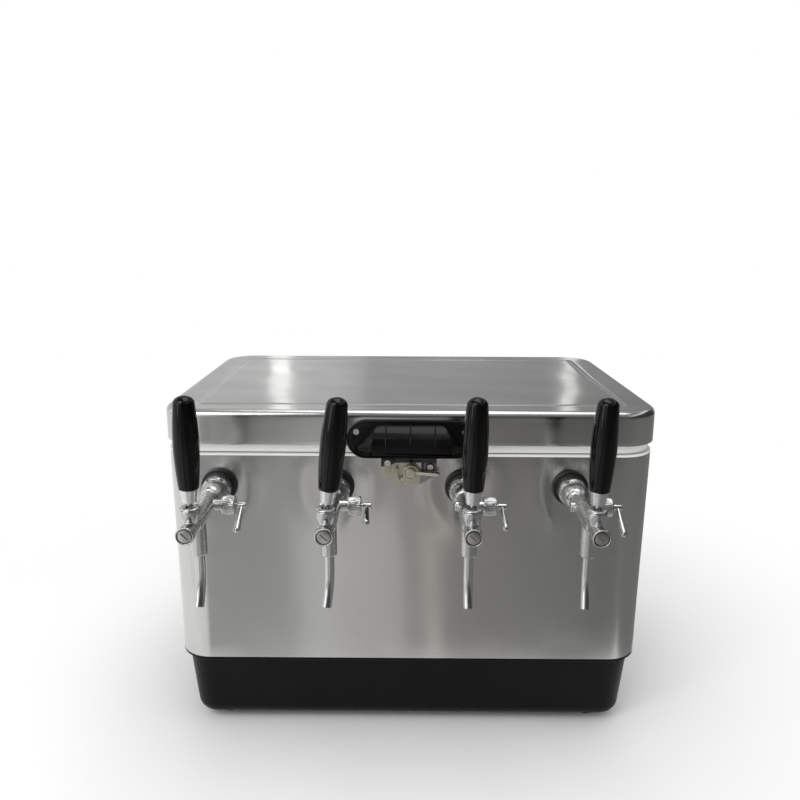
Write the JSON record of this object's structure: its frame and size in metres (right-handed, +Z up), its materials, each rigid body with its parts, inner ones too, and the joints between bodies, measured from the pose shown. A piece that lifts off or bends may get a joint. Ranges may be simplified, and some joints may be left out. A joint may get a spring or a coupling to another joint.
{
  "type": "jockey box beer cooler",
  "caption": "Insulated chest with a steel wrap and hinged lid, and draught beer taps on its front fed through a cold plate inside.",
  "frame": {"origin": "centre of the base's underside, 8 mm above the ground that the feet stand on", "axes": "+Z up, -Y out of the front wall that carries the taps, +X to the right for someone facing the taps"},
  "size_m": [0.6473, 0.595, 0.4861],
  "materials": {
    "steel_skin": "stainless sheet with a fine horizontal grain, slightly uneven",
    "black_moulding": "black moulded plastic, satin",
    "rubber": "black rubber, matte",
    "white_liner": "white moulded plastic",
    "foam": "rigid insulating foam",
    "cold_plate": "cast aluminium, dull",
    "beer_hose": "cloudy clear hose",
    "steel_fittings": "plain stainless, turned",
    "tap_chrome": "bright chrome plating",
    "cap_plug": "turned steel plug with a slot",
    "black_handle": "glossy black plastic",
    "latch_steel": "pressed and turned steel",
    "dark_strip": "dark painted steel",
    "screws": "plated pan-head screws",
    "black_grip": "black ribbed grip"
  },
  "bodies": {
    "cooler": {"steel_wrap": "steel_skin", "base_shell": "black_moulding", "wall_flanges": "black_moulding", "feet": "rubber", "tub_liner": "white_liner", "drain_spout": "white_liner", "drain_nut": "white_liner", "body_foam": "foam", "cold_plate": "cold_plate", "outlet_lines": "beer_hose", "inlet_lines": "beer_hose", "plate_barbs": "steel_fittings", "hose_clamps": "steel_fittings", "inlet_fittings": "steel_fittings", "inlet_lock_nuts": "steel_fittings", "shanks": "steel_fittings", "shank_lock_nuts": "steel_fittings", "coupling_nuts": "tap_chrome", "faucet_bodies": "tap_chrome", "collar_nuts": "tap_chrome", "front_caps": "tap_chrome", "flow_bonnets": "tap_chrome", "spout_tubes": "tap_chrome", "cap_plugs": "cap_plug", "latch_plate": "latch_steel", "hinge_body_leaves": "latch_steel", "hinge_pins": "latch_steel", "bail_brackets": "latch_steel", "body_screws": "screws"},
    "lid": {"lid_cap": "steel_skin", "lid_liner": "white_liner", "lid_foam": "foam", "lid_gasket": "rubber", "lid_handle": "black_moulding", "lid_screws": "screws", "latch_keeper": "dark_strip", "hinge_lid_leaves": "latch_steel"},
    "lever_1": {"tap_lever_1": "tap_chrome", "handle_grip_1": "black_handle"},
    "valve_1": {"plunger_1": "tap_chrome"},
    "flow_1": {"flow_lever_1": "tap_chrome"},
    "lever_2": {"tap_lever_2": "tap_chrome", "handle_grip_2": "black_handle"},
    "valve_2": {"plunger_2": "tap_chrome"},
    "flow_2": {"flow_lever_2": "tap_chrome"},
    "lever_3": {"tap_lever_3": "tap_chrome", "handle_grip_3": "black_handle"},
    "valve_3": {"plunger_3": "tap_chrome"},
    "flow_3": {"flow_lever_3": "tap_chrome"},
    "lever_4": {"tap_lever_4": "tap_chrome", "handle_grip_4": "black_handle"},
    "valve_4": {"plunger_4": "tap_chrome"},
    "flow_4": {"flow_lever_4": "tap_chrome"},
    "latch": {"latch_turn": "latch_steel"},
    "drain_plug": {"drain_cap": "white_liner"},
    "carry_left": {"carry_bail_left": "latch_steel", "carry_grip_left": "black_grip"},
    "carry_right": {"carry_bail_right": "latch_steel", "carry_grip_right": "black_grip"}
  },
  "joints": [
    {"name": "lid_hinge", "type": "hinge", "parent": "cooler", "child": "lid", "pos_m": [0, 0.2126, 0.382], "axis": [-1, 0, 0], "range_deg": [0, 100]},
    {"name": "tap_1_pull", "type": "hinge", "parent": "cooler", "child": "lever_1", "pos_m": [-0.236, -0.34075, 0.35005], "axis": [1, 0, 0], "range_deg": [0, 30]},
    {"name": "tap_1_valve", "type": "slide", "parent": "cooler", "child": "valve_1", "axis": [0, 0.9999, 0.0109], "range_m": [0, 0.0085]},
    {"name": "flow_1_turn", "type": "hinge", "parent": "cooler", "child": "flow_1", "pos_m": [-0.236, -0.27457, 0.33427], "axis": [-1, 0, 0], "range_deg": [-72, 18]},
    {"name": "tap_2_pull", "type": "hinge", "parent": "cooler", "child": "lever_2", "pos_m": [-0.091, -0.34075, 0.35005], "axis": [1, 0, 0], "range_deg": [0, 30]},
    {"name": "tap_2_valve", "type": "slide", "parent": "cooler", "child": "valve_2", "axis": [0, 0.9999, 0.0109], "range_m": [0, 0.0085]},
    {"name": "flow_2_turn", "type": "hinge", "parent": "cooler", "child": "flow_2", "pos_m": [-0.091, -0.27457, 0.33427], "axis": [-1, 0, 0], "range_deg": [-90, 0]},
    {"name": "tap_3_pull", "type": "hinge", "parent": "cooler", "child": "lever_3", "pos_m": [0.065, -0.34075, 0.35005], "axis": [1, 0, 0], "range_deg": [0, 30]},
    {"name": "tap_3_valve", "type": "slide", "parent": "cooler", "child": "valve_3", "axis": [0, 0.9999, 0.0109], "range_m": [0, 0.0085]},
    {"name": "flow_3_turn", "type": "hinge", "parent": "cooler", "child": "flow_3", "pos_m": [0.065, -0.27457, 0.33427], "axis": [-1, 0, 0], "range_deg": [-80, 10]},
    {"name": "tap_4_pull", "type": "hinge", "parent": "cooler", "child": "lever_4", "pos_m": [0.198, -0.34075, 0.35005], "axis": [1, 0, 0], "range_deg": [0, 30]},
    {"name": "tap_4_valve", "type": "slide", "parent": "cooler", "child": "valve_4", "axis": [0, 0.9999, 0.0109], "range_m": [0, 0.0085]},
    {"name": "flow_4_turn", "type": "hinge", "parent": "cooler", "child": "flow_4", "pos_m": [0.198, -0.27457, 0.33427], "axis": [-1, 0, 0], "range_deg": [-67, 23]},
    {"name": "latch_spindle", "type": "hinge", "parent": "cooler", "child": "latch", "pos_m": [0.001, -0.20779, 0.3546], "axis": [0, 0.9999, 0.0109], "range_deg": [0, 90]},
    {"name": "drain_cap_pull", "type": "slide", "parent": "cooler", "child": "drain_plug", "axis": [0.9999, 0, -0.0109], "range_m": [0, 0.03]},
    {"name": "carry_left_swing", "type": "hinge", "parent": "cooler", "child": "carry_left", "pos_m": [-0.3147, 0, 0.2999], "axis": [0, 1, 0], "range_deg": [0, 95]},
    {"name": "carry_right_swing", "type": "hinge", "parent": "cooler", "child": "carry_right", "pos_m": [0.3147, 0, 0.2999], "axis": [0, -1, 0], "range_deg": [0, 95]}
  ],
  "couplings": [
    {"joint": "tap_1_valve", "follows": "tap_1_pull", "m_per_rad": 0.0159},
    {"joint": "tap_2_valve", "follows": "tap_2_pull", "m_per_rad": 0.0159},
    {"joint": "tap_3_valve", "follows": "tap_3_pull", "m_per_rad": 0.0159},
    {"joint": "tap_4_valve", "follows": "tap_4_pull", "m_per_rad": 0.0159}
  ]
}
